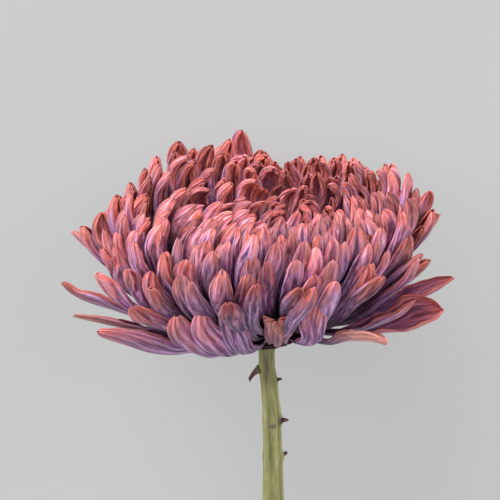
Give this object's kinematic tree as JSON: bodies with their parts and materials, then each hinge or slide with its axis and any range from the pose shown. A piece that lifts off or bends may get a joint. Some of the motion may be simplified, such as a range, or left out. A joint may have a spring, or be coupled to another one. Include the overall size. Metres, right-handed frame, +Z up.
{
  "type": "chrysanthemum flower",
  "caption": "Single large incurved chrysanthemum bloom, mauve with coral petal tips, on a bare cut stem, lying on its side.",
  "frame": {"origin": "centre of the lying flower's bounding box, on the surface that it lies on", "axes": "+Z up; the bloom faces -Y and its stem runs towards +Y; +X is on the left of a person who looks at the upright bloom's front"},
  "size_m": [0.128, 0.2118, 0.1068],
  "materials": {
    "stem": "satin, ribbed green stem with yellow and brown streaks",
    "bract": "matt dark purple, paler dry margins",
    "stub": "matt dark purple brown, dry and darker where torn",
    "floret": "soft satin petal, violet at the foot, coral at the tip, finely veined",
    "skirt": "soft satin petal, mostly violet, coral rim and tip"
  },
  "bodies": {
    "root": {"stem": "stem", "bract_ring_inner": "bract", "bract_ring_outer": "bract", "leaf_stub_upper": "stub", "bud_scar_upper": "stub", "leaf_stub_second": "stub", "leaf_stub_third": "stub", "leaf_stub_fourth": "stub", "leaf_stub_fifth": "stub", "leaf_stub_sixth": "stub", "centre_florets": "floret", "floret_row_01": "floret", "floret_row_02": "floret", "floret_row_03": "floret", "floret_row_04": "floret", "floret_row_05": "floret", "floret_row_06": "floret", "floret_row_07": "floret", "floret_row_08": "floret", "floret_row_09": "floret", "floret_row_10": "floret", "floret_row_11": "floret", "floret_row_12": "floret", "floret_row_13": "floret", "floret_row_14": "floret", "floret_row_15": "floret", "floret_row_16": "floret", "floret_row_17": "floret", "floret_row_18": "floret", "floret_row_19": "floret", "floret_row_20": "floret", "floret_row_21": "floret", "skirt_floret_01": "skirt", "skirt_floret_02": "skirt", "skirt_floret_03": "skirt", "skirt_floret_04": "skirt", "skirt_floret_05": "skirt", "skirt_floret_06": "skirt", "skirt_floret_07": "skirt", "skirt_floret_08": "skirt", "skirt_floret_09": "skirt", "skirt_floret_10": "skirt", "skirt_floret_11": "skirt", "skirt_floret_12": "skirt", "skirt_floret_13": "skirt", "skirt_floret_14": "skirt", "skirt_floret_15": "skirt", "skirt_floret_16": "skirt", "skirt_floret_17": "skirt", "skirt_floret_18": "skirt", "skirt_floret_19": "skirt", "skirt_floret_20": "skirt", "skirt_floret_21": "skirt", "skirt_floret_22": "skirt", "skirt_floret_23": "skirt", "skirt_floret_24": "skirt"}
  },
  "joints": []
}
